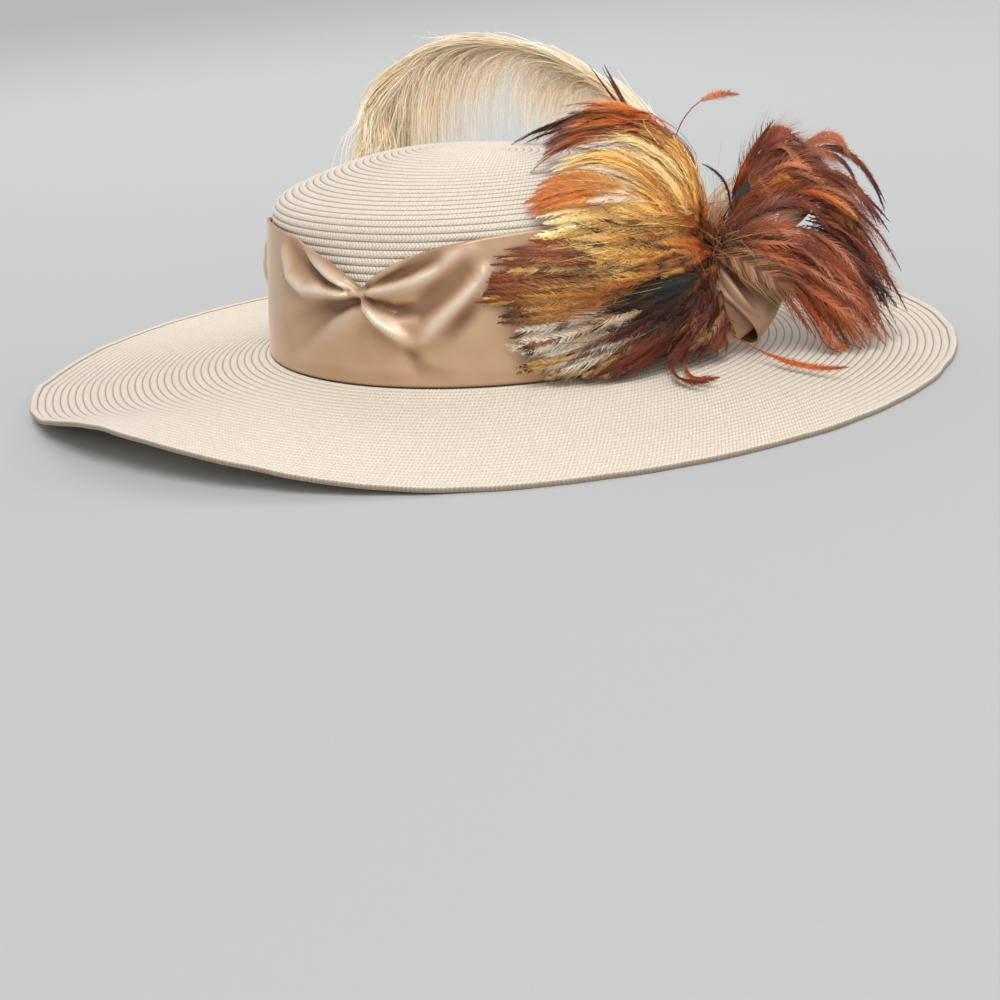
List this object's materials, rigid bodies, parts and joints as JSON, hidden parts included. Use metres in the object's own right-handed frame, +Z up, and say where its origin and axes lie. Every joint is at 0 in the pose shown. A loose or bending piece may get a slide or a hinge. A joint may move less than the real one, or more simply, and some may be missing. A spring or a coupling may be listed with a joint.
{
  "type": "wide-brimmed straw boater hat",
  "caption": "Wide-brimmed straw boater with a low crown, a gently waved brim, a pinched satin band, a satin bow, hackle and coque feathers and a cream plume.",
  "frame": {"origin": "middle of the brim's oval, on the surface that the brim rests on", "axes": "+Z up, front of the hat towards -Y, wearer's left towards +X, so the oval's long way is Y"},
  "size_m": [0.3884, 0.4204, 0.1316],
  "materials": {
    "straw": "plaited ivory straw braid, sewn in rows",
    "satin": "champagne satin ribbon",
    "gold_feather": "glossy gold hackle feathers",
    "brown_feather": "glossy brown and black hackle feathers",
    "rust_feather": "glossy rust feathers",
    "cream_feather": "matte cream ostrich barbs"
  },
  "bodies": {
    "root": {"crown": "straw", "brim": "straw", "ribbon_band": "satin", "bow_knot": "satin", "bow_loop_upper": "satin", "bow_loop_lower": "satin", "bow_loop_front": "satin", "gold_hackle_fan": "gold_feather", "brown_hackle_fan": "brown_feather", "rust_hackle_tuft": "rust_feather", "coque_spray": "rust_feather", "ostrich_plume": "cream_feather"}
  },
  "joints": []
}
